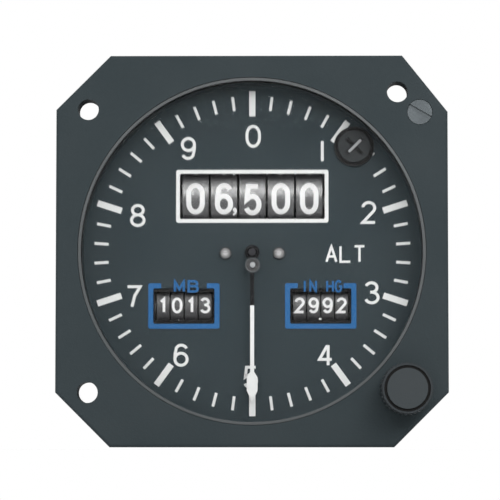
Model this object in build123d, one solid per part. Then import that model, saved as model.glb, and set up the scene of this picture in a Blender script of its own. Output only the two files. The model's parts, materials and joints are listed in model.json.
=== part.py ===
from build123d import *
import math
import os

os.makedirs("parts", exist_ok=True)

# The dial's axis is Y. The flange's rear face, which meets the panel, is y = 0, and the dial faces -Y.

# Flange
flange_width = 82.8
flange_thickness = 6.5
flange_edge_round = 0.7
corner_cut = 11.5
top_right_cut_across = 9.6
top_right_cut_down = 12.0
mounting_hole_radius = 2.2
left_hole_x = -34.6
left_hole_z = 29.9
top_right_hole_x = 30.8
top_right_hole_z = 33.6
corner_screw_x = 35.5
corner_screw_z = 29.3
corner_screw_radius = 2.6
corner_screw_thread_radius = 1.4
corner_screw_depth = 4.5
corner_slot_angle = -30.0

# Body behind the panel
case_radius = 39.6
case_wall = 1.2
case_length = 118.0
case_end_wall = 3.0
case_end_round = 3.0
case_lead = 0.5
shoulder_depth = 8.0
shoulder_radius = 39.2
collar_front = -2.0
spigot_length = 6.0
seal_section = 1.5
seal_setback = 3.6
bore_radius = 36.4
seat_gap = 0.1
run_gap = 0.05
body_gap = 0.3
stud_lug_radius = 2.4
lug_margin = 1.2
lug_overlap = 0.5
relief_wall = 0.9
relief_front_gap = 0.2
relief_rear_gap = 0.4
pocket_front_gap = 0.7
stud_margin = 0.6

# Glass and dial
aperture_radius = 36.8
glass_ring_inner_radius = 36.1
glass_ring_depth = 1.0
glass_ring_setback = 0.2
glass_thickness = 2.4
gasket_thickness = 0.5
dial_setback = 8.5
dial_thickness = 1.0
ledge_thickness = 2.0
ledge_inner_radius = 35.0
mark_height = 0.1

# Scale marks
mark_count = 50
marks_per_numeral = 5
long_mark_inner_radius = 29.4
long_mark_outer_radius = 34.8
long_mark_width = 1.34
short_mark_inner_radius = 30.8
short_mark_outer_radius = 33.8
short_mark_width = 0.6

# Windows in the dial
altitude_window_z = 12.2
altitude_window_width = 31.0
altitude_window_height = 9.75
altitude_frame_band = 0.8
baro_window_x = 14.6
baro_window_z = -11.3
baro_frame_width = 15.2
baro_frame_height = 9.7
baro_frame_band = 1.05
baro_opening_width = 12.5
baro_opening_height = 6.1
baro_recess_depth = 0.3
window_corner = 0.4
frame_corner = 0.5
opening_corner = 0.3
label_gap_left = -4.9
label_gap_width = 9.8

# Pointer
pointer_height = 2.2
pointer_thickness = 0.4
pointer_hub_radius = 1.6
pointer_stem_width = 0.85
pointer_head_start = 25.4
pointer_head_shoulder = 26.6
pointer_head_end = 29.4
pointer_head_width = 2.3
pointer_length = 31.9
arbor_radius = 0.75
hub_dome_radius = 1.1
hub_dome_height = 0.7
hub_dome_round = 0.5
arbor_collar_radius = 1.15
arbor_collar_gap = 0.6
arbor_end = 0.2

# Altitude counter
altitude_drum_radius = 14.0
altitude_drum_pitch = 6.1
altitude_drum_count = 5
fixed_drum_count = 2
drum_gap = 0.5
drum_rim = 1.4
drum_web = 1.2
drum_hub_radius = 3.2
drum_clearance = 0.5
drum_axle_radius = 1.2
sleeve_wall = 0.8
cheek_thickness = 1.0
cheek_half_height = 4.0

# Barometric counters
baro_drum_radius = 8.0
baro_drum_pitch = 3.0
baro_drum_count = 4
baro_drum_gap = 0.3
baro_axle_radius = 0.9
baro_drum_hub_radius = 2.0

# Knob
knob_x = 32.2
knob_z = -29.3
knob_radius = 5.45
knob_flute_depth = 0.25
knob_flutes = 36
knob_face_radius = 4.2
knob_groove_width = 0.55
knob_groove_depth = 0.8
knob_face_step = 0.3
knob_knurl_front = 0.9
knob_knurl_rear = 0.6
knob_foot_radius = 4.95
knob_rim_radius = 5.15
knob_bore_setback = 3.0
knob_height = 12.0
knob_gap = 0.5
knob_shaft_radius = 1.6
bush_radius = 3.0
boss_radius = 6.8
pocket_gap = 0.4
plug_thickness = 1.2

# What the counters can show, in feet
shown_altitude = 6500.0
lowest_altitude = -1000.0
highest_altitude = 50000.0
feet_per_turn = 1000.0

# Gears
fine_module = 0.4
counter_module = 0.6
baro_module = 0.5
pointer_gear_teeth = 20
counter_gear_teeth = 24
drive_pinion_teeth = 8
third_wheel_teeth = 48
second_wheel_teeth = 50
second_pinion_teeth = 10
sector_full_teeth = 120
sector_teeth = 18
sector_hub_radius = 3.0
knob_pinion_teeth = 20
baro_idler_teeth = 22
baro_lay_teeth = 16
bevel_teeth = 12
cross_driver_teeth = 16
cross_wheel_teeth = 27
cross_pinion_teeth = 16
millibar_wheel_teeth = 28
cross_module = 0.44
gear_face = 1.2
wheel_face = 0.8
wheel_step = 3.5
gear_setback = 0.9
cross_gear_gap = 0.6
bridge_gap = 0.6
tab_gap = 1.2
train_gap = 1.5
sector_gap = 1.4
pinion_margin = 0.6
second_arbor_end = 1.0
pinion_face = 2.4
bevel_face = 1.8
tooth_addendum = 0.75
tooth_dedendum = 1.3
tooth_root_share = 0.28
tooth_tip_share = 0.1
shaft_end = 0.3
idler_angle = 125.0
third_wheel_angle = 215.0

# Movement
post_radius = 1.8
post_ring_radius = 31.55
post_angles = (46.3, 133.7, 226.3, 284.0)
post_screw_radius = 0.9
post_head_radius = 1.6
post_head_depth = 0.8
post_thread = 3.0
plate_clearance = 3.4
plate_thickness = 1.5
front_plate_y = 33.0
train_depth = 11.5
capsule_bay_depth = 44.5
pillar_radius = 2.0
pillar_spots = ((-13.0, 30.0), (13.0, 30.0), (18.0, -27.0))
bridge_thickness = 1.0
bridge_half_width = 1.8
bridge_post_radius = 1.0
stud_radius = 1.0
tab_half_width = 2.0
case_screw_y = 9.8
case_screw_angles = (30, 120, 210, 300)
rim_cap_radius = 4.25
rim_cap_thickness = 0.7
rim_head_radius = 3.4
rim_head_height = 0.6
slot_width = 0.9
slot_depth = 0.5
slot_reach = 0.7
plate_slot_width = 0.5
plate_screw_head_radius = 1.8
plate_screw_thread = 2.8
dial_screw_x = 5.7
dial_screw_head_radius = 1.32
dial_screw_head_height = 0.8
dial_slot_width = 0.4
dial_slot_depth = 0.4

# Pressure capsules
capsule_radius = 17.0
capsule_count = 3
capsule_pitch = 6.0
capsule_rim = 0.8
capsule_inner_x = 9.0
capsule_stud_radius = 1.5
capsule_neck = 0.5
capsule_shoulder = 2.2
capsule_dome_share = 0.8
capsule_lip_share = 0.88
capsule_stud_end = 1.0
capsule_bar_gap = 2.5
capsule_bar_section = (3.0, 6.0)
lever_arm = 5.0
lever_overhang = 1.6
lever_width = 3.0
lever_thickness = 1.2
link_pin_radius = 0.5
link_thickness = 0.8
link_width = 2.0
link_gap = 0.4
fork_slot_reach = 1.4

# Rear fittings
port_x = -16.0
port_z = 14.0
port_boss_radius = 8.5
port_boss_height = 6.0
port_bore_radius = 4.4
port_bore_depth = 9.0
connector_x = 14.0
connector_z = -12.0
connector_radius = 8.5
connector_wall = 1.2
connector_height = 12.0
connector_flange_width = 23.0
connector_flange_thickness = 2.0
connector_corner_radius = 2.0
connector_hole_spacing = 17.6
connector_pin_count = 6
connector_pin_ring = 4.0
connector_pin_radius = 0.75
connector_pin_front = 6.0
connector_pin_setback = 3.0
insert_front = 2.0
insert_rear = 3.0
bayonet_pin_count = 3
bayonet_pin_radius = 0.8
bayonet_pin_setback = 4.0
bayonet_pin_rise = 0.4
connector_screw_head_radius = 1.9
small_screw_radius = 1.25
small_screw_head = 1.2
small_screw_length = 5.0

# Places that follow from the sizes above
dial_front = -flange_thickness + dial_setback
dial_rear = dial_front + dial_thickness
ledge_rear = dial_rear + ledge_thickness
spigot_rear = shoulder_depth + spigot_length
case_inner_radius = case_radius - case_wall
spigot_radius = case_inner_radius - seat_gap
plate_radius = case_inner_radius - plate_clearance
ring_front = -flange_thickness + glass_ring_setback
glass_front = ring_front + glass_ring_depth
glass_rear = glass_front + glass_thickness
gasket_rear = glass_rear + gasket_thickness
mid_plate_y = front_plate_y + plate_thickness + train_depth
rear_plate_y = mid_plate_y + plate_thickness + capsule_bay_depth
altitude_axis_y = dial_rear + drum_clearance + altitude_drum_radius
baro_axis_y = dial_rear + drum_clearance + baro_drum_radius
altitude_counter_half = altitude_drum_count * altitude_drum_pitch / 2
baro_counter_half = baro_drum_count * baro_drum_pitch / 2
gear_front = dial_rear + gear_setback
gear_rear = gear_front + gear_face
pointer_gear_radius = fine_module * pointer_gear_teeth / 2
drive_arbor_z = -2 * pointer_gear_radius
counter_gear_radius = counter_module * counter_gear_teeth / 2
counter_rise = altitude_window_z - drive_arbor_z
counter_span = 4 * counter_gear_radius
counter_lay_x = math.sqrt(counter_span**2 - counter_rise**2)
counter_idler_spot = (counter_lay_x / 2, drive_arbor_z + counter_rise / 2)
counter_chain_angle = math.degrees(math.atan2(counter_rise, counter_lay_x))
baro_idler_reach = baro_module * (knob_pinion_teeth + baro_idler_teeth) / 2
baro_idler_x = knob_x + baro_idler_reach * math.cos(math.radians(idler_angle))
baro_idler_z = knob_z + baro_idler_reach * math.sin(math.radians(idler_angle))
baro_lay_reach = baro_module * (baro_idler_teeth + baro_lay_teeth) / 2
baro_lay_x = baro_idler_x + math.sqrt(baro_lay_reach**2 - (baro_window_z - baro_idler_z) ** 2)
baro_lay_angle = math.degrees(math.atan2(baro_window_z - baro_idler_z, baro_lay_x - baro_idler_x))
bevel_radius = baro_module * bevel_teeth / 2
cross_reach = cross_module * (cross_driver_teeth + cross_wheel_teeth) / 2
millibar_module = 2 * cross_reach / (cross_pinion_teeth + millibar_wheel_teeth)
cross_axis_y = baro_axis_y + cross_reach
inner_cheek_x = baro_window_x - baro_counter_half - body_gap - cheek_thickness
outer_cheek_x = baro_window_x + baro_counter_half + body_gap
cross_gear_right = inner_cheek_x - cross_gear_gap
cross_gear_left = cross_gear_right - gear_face
seal_inner_radius = spigot_radius - seal_section + seat_gap
pocket_radius = baro_module * (knob_pinion_teeth / 2 + tooth_addendum) + pocket_gap
pocket_front = gear_front - pocket_front_gap
bridge_front = gear_rear + bridge_gap
bridge_rear = bridge_front + bridge_thickness
tab_front = gear_rear + tab_gap
pointer_rear = dial_front - pointer_height
pointer_front = pointer_rear - pointer_thickness
counter_gear_y = front_plate_y + plate_thickness + train_gap
second_wheel_y = counter_gear_y + wheel_step
third_wheel_y = second_wheel_y + wheel_step
sector_y = mid_plate_y + plate_thickness + sector_gap
sector_radius = fine_module * sector_full_teeth / 2
lever_turn = sector_full_teeth / second_pinion_teeth * second_wheel_teeth / drive_pinion_teeth
lever_turn *= third_wheel_teeth / drive_pinion_teeth
lever_swing = (highest_altitude - lowest_altitude) / feet_per_turn * 360 / lever_turn
middle_altitude = (highest_altitude + lowest_altitude) / 2
half_swing = math.radians(lever_swing / 2)
link_rate = lever_arm * math.tan(half_swing) / half_swing
lever_rest_angle = (middle_altitude - shown_altitude) / feet_per_turn * 360 / lever_turn
third_reach = fine_module * (third_wheel_teeth + drive_pinion_teeth) / 2
second_reach = fine_module * (second_wheel_teeth + drive_pinion_teeth) / 2
sector_reach = fine_module * (sector_full_teeth + second_pinion_teeth) / 2
lever_front = mid_plate_y + plate_thickness + capsule_bay_depth / 2
lever_rear = lever_front + lever_thickness
link_front = lever_rear + link_gap
capsule_y = link_front + link_thickness / 2
capsule_outer_x = capsule_inner_x + capsule_count * capsule_pitch


def plane_at(y):
    """The plane across the dial's axis at depth y, with X to the right and Z up."""
    return Plane(origin=(0, y, 0), x_dir=(1, 0, 0), z_dir=(0, -1, 0))


def slab(outline, front, rear):
    """An outline in X and Z, solid from depth front to depth rear."""
    return extrude(plane_at(rear) * outline, rear - front)


def side_slab(outline, left, right):
    """An outline in Y and Z, solid from x = left to x = right."""
    plane = Plane(origin=(left, 0, 0), x_dir=(0, 1, 0), z_dir=(1, 0, 0))
    return extrude(plane * outline, right - left)


def disc(x, z, radius):
    return Pos(x, z) * Circle(radius)


def rod(x, z, radius, front, rear):
    """A round rod along Y."""
    return slab(disc(x, z, radius), front, rear)


def cross_rod(y, z, radius, left, right):
    """A round rod along X."""
    return side_slab(disc(y, z, radius), left, right)


def plate(x, z, width, height):
    return Pos(x, z) * Rectangle(width, height)


def spot(radius, angle):
    """The point at this radius and angle, as x and z."""
    return radius * math.cos(math.radians(angle)), radius * math.sin(math.radians(angle))


def save(node, *solids):
    shape = solids[0] if len(solids) == 1 else Compound(children=list(solids))
    export_step(shape, f"parts/{node}.step")


def gear_outline(teeth, module, phase=0.0, first=0, count=None):
    """A gear's outline with tapered teeth, one of them centred at the angle phase."""
    pitch = module * teeth / 2
    root, tip = pitch - tooth_dedendum * module, pitch + tooth_addendum * module
    step = 360 / teeth
    half_root, half_tip = tooth_root_share, tooth_tip_share
    points = []
    for tooth in range(first, first + (count or teeth)):
        middle = phase + tooth * step
        for radius, share in ((root, -half_root), (tip, -half_tip), (tip, half_tip), (root, half_root)):
            points.append(spot(radius, middle + share * step))
    if count:
        points.append((0, 0))
    return make_face(Polyline(points, close=True))


def mesh_phase(phase, teeth, angle, next_teeth):
    """The phase of the gear at this angle from one of known phase, with the two in mesh."""
    offset = ((angle - phase) * teeth / 360) % 1
    return angle + 180 - (0.5 - offset) * 360 / next_teeth


def bevel_gear(phase):
    """A mitre gear on the Z axis, its apex at the origin and its large end down."""
    wide = gear_outline(bevel_teeth, baro_module, phase)
    share = (bevel_radius - bevel_face) / bevel_radius
    narrow = scale(wide, share)
    return loft([Pos(0, 0, -bevel_radius) * wide, Pos(0, 0, -bevel_radius * share) * narrow], ruled=True)


def flange_outline(inset=0.0):
    half = flange_width / 2 - inset
    corner = corner_cut - inset
    points = (
        (-half + corner, half),
        (half - top_right_cut_across + inset, half),
        (half, half - top_right_cut_down + inset),
        (half, -half + corner),
        (half - corner, -half),
        (-half + corner, -half),
        (-half, -half + corner),
        (-half, half - corner),
    )
    return make_face(Polyline(points, close=True))


def lug(x, z, radius, reach):
    """A round-ended arm from a point out to the given radius."""
    angle = math.degrees(math.atan2(z, x))
    distance = math.hypot(x, z)
    arm = Pos((distance + reach) / 2, 0) * Rectangle(reach - distance, 2 * radius)
    return disc(x, z, radius) + Rot(0, 0, angle) * arm


def post_spots():
    return [spot(post_ring_radius, angle) for angle in post_angles]


def bezel():
    """The flange, and the collar let into it that carries the glass, the dial and the case."""
    body = slab(flange_outline(), -flange_thickness, 0)
    front_edges = body.faces().sort_by(Axis.Y)[0].edges()
    body = fillet(front_edges, flange_edge_round)
    body += rod(0, 0, shoulder_radius, 0, shoulder_depth)
    body += rod(0, 0, spigot_radius, shoulder_depth, spigot_rear)
    body += rod(knob_x, knob_z, boss_radius, 0, shoulder_depth)
    relief = baro_module * (baro_idler_teeth / 2 + tooth_addendum) + body_gap
    body += rod(baro_idler_x, baro_idler_z, relief + relief_wall, 0, shoulder_depth)
    body -= rod(0, 0, aperture_radius, -flange_thickness, dial_rear)
    body -= rod(0, 0, ledge_inner_radius, dial_rear, ledge_rear)
    body -= rod(0, 0, bore_radius, ledge_rear, spigot_rear)
    for x, z in post_spots():
        arm = lug(x, z, post_radius + lug_margin, ledge_inner_radius + lug_overlap)
        body += slab(arm, dial_rear, ledge_rear)
    arm = lug(baro_idler_x, baro_idler_z, stud_lug_radius, bore_radius + lug_overlap)
    relief_rear = gear_rear + relief_rear_gap
    body += slab(arm, relief_rear, shoulder_depth)
    body -= rod(baro_idler_x, baro_idler_z, relief, gear_front - relief_front_gap, relief_rear)
    body -= rod(baro_idler_x, baro_idler_z, stud_radius, gear_front, shoulder_depth)
    body -= rod(knob_x, knob_z, pocket_radius, pocket_front, shoulder_depth)
    body -= rod(knob_x, knob_z, bush_radius, -flange_thickness, pocket_front)
    for x, z in post_spots():
        body -= rod(x, z, post_screw_radius, dial_rear, ledge_rear)
    for x, z in post_spots()[1:]:
        body -= rod(x, z, post_head_radius, dial_rear, dial_rear + post_head_depth)
    holes = [(left_hole_x, left_hole_z), (left_hole_x, -left_hole_z), (top_right_hole_x, top_right_hole_z)]
    for x, z in holes:
        body -= rod(x, z, mounting_hole_radius, -flange_thickness, 0)
    head_rear = -flange_thickness + small_screw_head
    body -= rod(corner_screw_x, corner_screw_z, corner_screw_radius + seat_gap, -flange_thickness, head_rear)
    thread_end = head_rear + corner_screw_depth
    body -= rod(corner_screw_x, corner_screw_z, corner_screw_thread_radius, head_rear, thread_end)
    groove_front = shoulder_depth + seal_setback
    groove = rod(0, 0, case_radius, groove_front, groove_front + seal_section)
    body -= groove - rod(0, 0, seal_inner_radius, groove_front, groove_front + seal_section)
    inside = bore_radius - small_screw_radius
    for angle in case_screw_angles:
        body -= radial_rod(angle, case_screw_y, small_screw_radius, inside, case_radius)
    collar = rod(0, 0, shoulder_radius, collar_front, spigot_rear)
    save("bezel", body - collar)
    save("bezel_collar", body & collar)


def radial_rod(angle, y, radius, inner, outer):
    """A round rod pointing out from the dial's axis."""
    x, z = spot(1, angle)
    plane = Plane(origin=(x * inner, y, z * inner), x_dir=(0, 1, 0), z_dir=(x, 0, z))
    return extrude(plane * Circle(radius), outer - inner)


def glass_parts():
    fit = aperture_radius - seat_gap
    ring = disc(0, 0, fit) - disc(0, 0, glass_ring_inner_radius)
    save("glass_ring", slab(ring, ring_front, glass_front))
    save("glass", slab(disc(0, 0, fit), glass_front, glass_rear))
    save("glass_gasket", slab(ring, glass_rear, gasket_rear))
    save("glass_spacer", slab(ring, gasket_rear, dial_front))


def window(x, z, width, height, corner=window_corner):
    return Pos(x, z) * RectangleRounded(width, height, corner)


def dial_plate():
    body = rod(0, 0, aperture_radius - seat_gap, dial_front, dial_rear)
    opening = window(0, altitude_window_z, altitude_window_width, altitude_window_height)
    body -= slab(opening, dial_front, dial_rear)
    for side in (-1, 1):
        x = side * baro_window_x
        inner_width = baro_frame_width - 2 * baro_frame_band
        inner_height = baro_frame_height - 2 * baro_frame_band
        recess = window(x, baro_window_z, inner_width, inner_height)
        body -= slab(recess, dial_front, dial_front + baro_recess_depth)
        opening = window(x, baro_window_z, baro_opening_width, baro_opening_height, opening_corner)
        body -= slab(opening, dial_front, dial_rear)
        body -= rod(side * dial_screw_x, 0, post_screw_radius, dial_front, dial_rear)
    body -= rod(0, 0, arbor_radius + body_gap, dial_front, dial_rear)
    body -= rod(*post_spots()[0], post_screw_radius, dial_front, dial_rear)
    return body


def dial_marks():
    """The 50 raised scale marks, five to a numeral, and the altitude window's frame."""
    marks = []
    for index in range(mark_count):
        if index % marks_per_numeral:
            inner, outer, width = short_mark_inner_radius, short_mark_outer_radius, short_mark_width
        else:
            inner, outer, width = long_mark_inner_radius, long_mark_outer_radius, long_mark_width
        angle = 90 - index * 360 / mark_count
        outline = Rot(0, 0, angle) * plate((inner + outer) / 2, 0, outer - inner, width)
        outline -= disc(*post_spots()[0], rim_cap_radius + seat_gap)
        marks.append(slab(outline, dial_front - mark_height, dial_front))
    band = 2 * altitude_frame_band
    width, height = altitude_window_width + band, altitude_window_height + band
    frame = window(0, altitude_window_z, width, height, frame_corner)
    frame -= window(0, altitude_window_z, altitude_window_width, altitude_window_height)
    marks.append(slab(frame, dial_front - mark_height, dial_front))
    return marks


def baro_frames():
    """The two blue frames, each open at the top where its label stands."""
    frames = []
    inner_width = baro_frame_width - 2 * baro_frame_band
    inner_height = baro_frame_height - 2 * baro_frame_band
    for side in (-1, 1):
        x = side * baro_window_x
        outline = window(x, baro_window_z, baro_frame_width, baro_frame_height)
        outline -= window(x, baro_window_z, inner_width, inner_height)
        top = baro_window_z + baro_frame_height / 2
        gap_x = x + label_gap_left + label_gap_width / 2
        outline -= plate(gap_x, top, label_gap_width, 2 * (baro_frame_band + run_gap))
        frames.append(slab(outline, dial_front - mark_height, dial_front))
    return frames


def cross_slots(x, z, radius, front, turn):
    """Two crossed slots in a screw's head."""
    bar = Rot(0, 0, turn) * Rectangle(2 * slot_reach * radius, slot_width)
    other = Rot(0, 0, turn + 90) * Rectangle(2 * slot_reach * radius, slot_width)
    return slab(Pos(x, z) * (bar + other), front, front + slot_depth)


def front_screws():
    """The screws that show from the front."""
    x, z = post_spots()[0]
    cap_front = dial_front - rim_cap_thickness
    head_front = cap_front - rim_head_height
    screw = rod(x, z, rim_cap_radius, cap_front, dial_front)
    screw += rod(x, z, rim_head_radius, head_front, cap_front)
    screw += rod(x, z, post_screw_radius, dial_front, ledge_rear + post_thread)
    screw -= cross_slots(x, z, rim_head_radius, head_front, 45)
    save("rim_screw", screw)
    heads = []
    for side in (-1, 1):
        x = side * dial_screw_x
        head_front = dial_front - dial_screw_head_height
        head = rod(x, 0, dial_screw_head_radius, head_front, dial_front)
        head += rod(x, 0, post_screw_radius - seat_gap, dial_front, dial_rear)
        head += rod(x, 0, bridge_post_radius / 2, dial_rear, bridge_rear)
        slot = plate(x, 0, 2 * dial_screw_head_radius + body_gap, dial_slot_width)
        head -= slab(slot, head_front, head_front + dial_slot_depth)
        heads.append(head)
    save("dial_screws", *heads)
    head_rear = -flange_thickness + small_screw_head
    screw = rod(corner_screw_x, corner_screw_z, corner_screw_radius, -flange_thickness, head_rear)
    thread_end = head_rear + corner_screw_depth - body_gap
    screw += rod(corner_screw_x, corner_screw_z, corner_screw_thread_radius, head_rear, thread_end)
    slot = Rot(0, 0, corner_slot_angle) * Rectangle(2 * corner_screw_radius + body_gap, slot_width)
    slot = Pos(corner_screw_x, corner_screw_z) * slot
    screw -= slab(slot, -flange_thickness, -flange_thickness + slot_depth)
    save("corner_screw", screw)
    hidden = []
    for x, z in post_spots()[1:]:
        head = rod(x, z, post_head_radius, dial_rear, dial_rear + post_head_depth)
        hidden.append(head + rod(x, z, post_screw_radius, dial_rear, ledge_rear + post_thread))
    return hidden


def case_shell():
    body = rod(0, 0, case_radius, shoulder_depth, case_length)
    rear_edge = body.edges().filter_by(GeomType.CIRCLE).sort_by(Axis.Y)[-1]
    body = fillet(rear_edge, case_end_round)
    front_edge = body.edges().filter_by(GeomType.CIRCLE).sort_by(Axis.Y)[0]
    body = chamfer(front_edge, case_lead)
    end_wall_y = case_length - case_end_wall
    body -= rod(0, 0, case_inner_radius, shoulder_depth, end_wall_y)
    port_rear = case_length + port_boss_height
    body += rod(port_x, port_z, port_boss_radius, end_wall_y, port_rear)
    body -= rod(port_x, port_z, port_bore_radius, port_rear - port_bore_depth, port_rear)
    body -= rod(connector_x, connector_z, connector_radius - connector_wall, end_wall_y, case_length)
    for x, z in connector_holes():
        body -= rod(x, z, small_screw_radius, end_wall_y, case_length)
    inside = case_inner_radius - small_screw_radius
    outside = case_radius + small_screw_radius
    for angle in case_screw_angles:
        body -= radial_rod(angle, case_screw_y, small_screw_radius, inside, outside)
    return body


def connector_holes():
    half = connector_hole_spacing / 2
    return [(connector_x + a * half, connector_z + b * half) for a in (-1, 1) for b in (-1, 1)]


def connector():
    """The round bayonet receptacle on the case's rear wall."""
    flange_rear = case_length + connector_flange_thickness
    shell_rear = flange_rear + connector_height
    outline = RectangleRounded(connector_flange_width, connector_flange_width, connector_corner_radius)
    outline = Pos(connector_x, connector_z) * outline
    shell = slab(outline, case_length, flange_rear)
    shell += rod(connector_x, connector_z, connector_radius, flange_rear, shell_rear)
    inside = connector_radius - connector_wall
    shell -= rod(connector_x, connector_z, inside, case_length, shell_rear)
    for x, z in connector_holes():
        shell -= rod(x, z, small_screw_radius, case_length, flange_rear)
    rooted = connector_radius - connector_wall / 2
    for index in range(bayonet_pin_count):
        x, z = spot(1, 90 + index * 360 / bayonet_pin_count)
        start = (connector_x + x * rooted, shell_rear - bayonet_pin_setback, connector_z + z * rooted)
        plane = Plane(origin=start, x_dir=(0, 1, 0), z_dir=(x, 0, z))
        shell += extrude(plane * Circle(bayonet_pin_radius), connector_wall / 2 + bayonet_pin_rise)
    save("connector_shell", shell)
    insert_ends = (case_length - insert_front, flange_rear + insert_rear)
    insert = rod(connector_x, connector_z, inside - seat_gap, *insert_ends)
    pin_ends = (case_length - connector_pin_front, shell_rear - connector_pin_setback)
    for index in range(connector_pin_count):
        x, z = spot(connector_pin_ring, index * 360 / connector_pin_count)
        pin_x, pin_z = connector_x + x, connector_z + z
        insert += rod(pin_x, pin_z, connector_pin_radius, *pin_ends)
    save("connector_insert", insert)
    screws = []
    for x, z in connector_holes():
        head_rear = flange_rear + small_screw_head
        screw = rod(x, z, connector_screw_head_radius, flange_rear, head_rear)
        screw += rod(x, z, small_screw_radius, flange_rear - small_screw_length, flange_rear)
        screw -= cross_slots(x, z, small_screw_radius, head_rear - slot_depth, 0)
        screws.append(screw)
    return screws


def rings_and_screws(connector_screws):
    outline = disc(0, 0, case_inner_radius) - disc(0, 0, seal_inner_radius)
    front = shoulder_depth + seal_setback
    save("case_seal", slab(outline, front, front + seal_section))
    screws = list(connector_screws)
    screw_ends = (bore_radius + body_gap, case_radius - body_gap)
    for angle in case_screw_angles:
        screws.append(radial_rod(angle, case_screw_y, small_screw_radius, *screw_ends))
    save("case_screws", *screws)
    save("pocket_plug", rod(knob_x, knob_z, pocket_radius, shoulder_depth - plug_thickness, shoulder_depth))


def knob_parts():
    rear = -flange_thickness - knob_gap
    front = rear - knob_height
    points = []
    for index in range(2 * knob_flutes):
        radius = knob_radius - (index % 2) * knob_flute_depth
        points.append(spot(radius, index * 180 / knob_flutes))
    knurl = Pos(knob_x, knob_z) * make_face(Polyline(points, close=True))
    face_rear = front + knob_face_step
    knurl_front, knurl_rear = front + knob_knurl_front, rear - knob_knurl_rear
    body = slab(knurl, knurl_front, knurl_rear)
    body += rod(knob_x, knob_z, knob_foot_radius, knurl_rear, rear)
    groove_radius = knob_face_radius + knob_groove_width
    body += rod(knob_x, knob_z, knob_rim_radius, face_rear, knurl_front)
    body += rod(knob_x, knob_z, knob_face_radius, front, face_rear)
    groove = disc(knob_x, knob_z, groove_radius) - disc(knob_x, knob_z, knob_face_radius)
    body -= slab(groove, front, front + knob_groove_depth)
    shaft_front = front + knob_bore_setback
    body -= rod(knob_x, knob_z, knob_shaft_radius, shaft_front, rear)
    save("baro_knob", body)
    pinion = Pos(knob_x, knob_z) * gear_outline(knob_pinion_teeth, baro_module, knob_phase)
    pinion_front = gear_front - (pinion_face - gear_face) / 4
    shaft = slab(pinion, pinion_front, pinion_front + pinion_face)
    shaft += rod(knob_x, knob_z, knob_shaft_radius, shaft_front, pinion_front + pinion_face + shaft_end)
    save("knob_shaft", shaft)
    bush = rod(knob_x, knob_z, bush_radius, -flange_thickness, pocket_front)
    bush -= rod(knob_x, knob_z, knob_shaft_radius + run_gap, -flange_thickness, pocket_front)
    save("knob_bush", bush)


def pointer_parts():
    half_stem, half_head = pointer_stem_width / 2, pointer_head_width / 2
    outline = make_face(
        Polyline(
            (-half_stem, 0),
            (-half_stem, -pointer_head_start),
            (-half_head, -pointer_head_shoulder),
            (-half_head, -pointer_head_end),
            (0, -pointer_length),
            (half_head, -pointer_head_end),
            (half_head, -pointer_head_shoulder),
            (half_stem, -pointer_head_start),
            (half_stem, 0),
            close=True,
        )
    )
    outline += Circle(pointer_hub_radius)
    outline -= Circle(arbor_radius)
    save("pointer_needle", slab(outline, pointer_front, pointer_rear))
    arbor = rod(0, 0, arbor_radius, pointer_front, bridge_rear + arbor_end)
    arbor += rod(0, 0, hub_dome_radius, pointer_front - hub_dome_height, pointer_front)
    dome_edge = arbor.edges().filter_by(GeomType.CIRCLE).sort_by(Axis.Y)[0]
    arbor = fillet(dome_edge, hub_dome_round)
    arbor += slab(gear_outline(pointer_gear_teeth, fine_module, 0), gear_front, gear_rear)
    arbor += rod(0, 0, arbor_collar_radius, pointer_rear, dial_front - arbor_collar_gap)
    save("pointer_arbor", arbor)


def pointer_bridge():
    """The plate behind the dial that carries the pointer's arbor."""
    reach = dial_screw_x + bridge_half_width
    outline = Rectangle(2 * reach, 2 * bridge_half_width)
    outline += plate(0, drive_arbor_z / 2, 2 * bridge_half_width, -drive_arbor_z)
    outline += disc(0, drive_arbor_z, bridge_half_width)
    outline -= Circle(arbor_radius + run_gap) + disc(0, drive_arbor_z, arbor_radius + run_gap)
    body = slab(outline, bridge_front, bridge_rear)
    for side in (-1, 1):
        x = side * dial_screw_x
        body += rod(x, 0, bridge_post_radius, dial_rear, bridge_front)
        body -= rod(x, 0, bridge_post_radius / 2, dial_rear, bridge_rear)
    return body


def drum(y, z, radius, hub, bore, left, right):
    """A number drum on an axis along X, its cup open to the right."""
    rim = cross_rod(y, z, radius, left, right) - cross_rod(y, z, radius - drum_rim, left, right)
    web = cross_rod(y, z, radius - drum_rim / 2, left, left + drum_web)
    body = rim + web + cross_rod(y, z, hub, left, right)
    return body - cross_rod(y, z, bore, left, right)


def altitude_drum(index, bore, hub=drum_hub_radius):
    left = -altitude_counter_half + index * altitude_drum_pitch
    right = left + altitude_drum_pitch - drum_gap
    shift = drum_gap / 2
    ends = (left + shift, right + shift)
    return drum(altitude_axis_y, altitude_window_z, altitude_drum_radius, hub, bore, *ends)


def baro_drum(side, index, bore):
    left = side * baro_window_x - baro_counter_half + index * baro_drum_pitch + baro_drum_gap / 2
    right = left + baro_drum_pitch - baro_drum_gap
    return drum(baro_axis_y, baro_window_z, baro_drum_radius, baro_drum_hub_radius, bore, left, right)


def cheek(y, z, front, hole, left):
    """One side of a counter's folded bracket."""
    outline = disc(y, z, cheek_half_height)
    outline += plate((y + front_plate_y) / 2, z, front_plate_y - y, 2 * cheek_half_height)
    if front < y:
        outline += plate((y + front) / 2, z, y - front, cheek_half_height)
    return side_slab(outline - disc(y, z, hole), left, left + cheek_thickness)


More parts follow.
